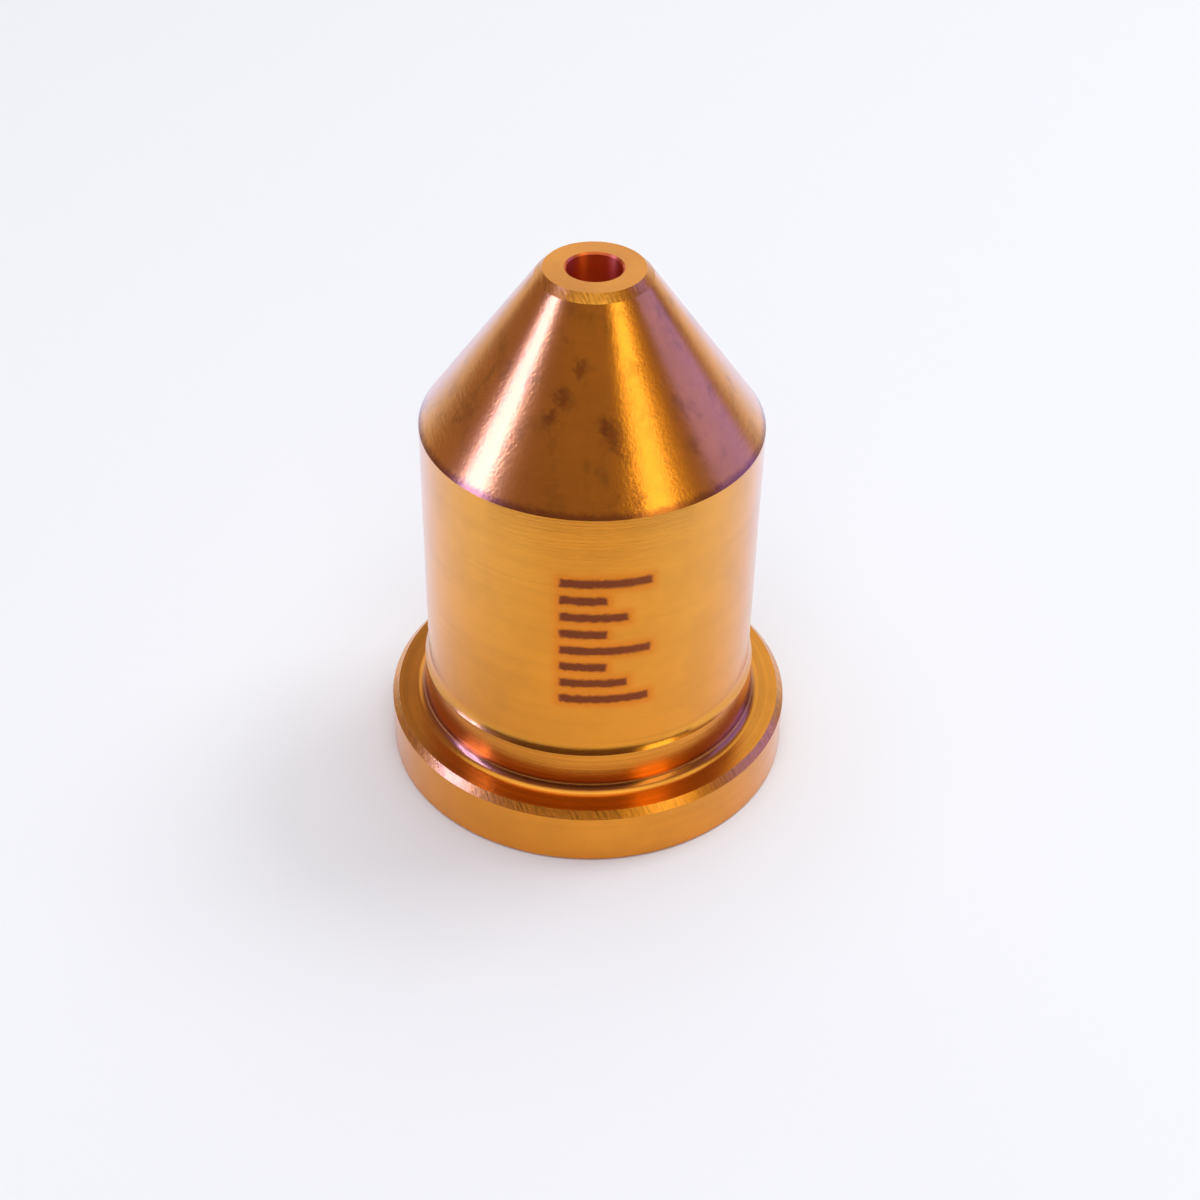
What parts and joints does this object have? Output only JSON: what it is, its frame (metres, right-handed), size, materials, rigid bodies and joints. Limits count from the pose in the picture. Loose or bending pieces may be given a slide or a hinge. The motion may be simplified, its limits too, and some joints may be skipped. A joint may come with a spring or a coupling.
{
  "type": "plasma torch nozzle",
  "caption": "Turned copper nozzle: conical nose with a small exit bore, plain cylindrical body, centring land and a flanged foot round an open chamber.",
  "frame": {"origin": "centre of the base face that the flange stands on, on the turning axis", "axes": "+Z along the turning axis towards the tip; +X and +Y are free, because the piece is turned"},
  "size_m": [0.0186, 0.0186, 0.025],
  "materials": {
    "copper": "bright turned copper, not plated"
  },
  "bodies": {
    "root": {"nozzle": "copper"}
  },
  "joints": []
}
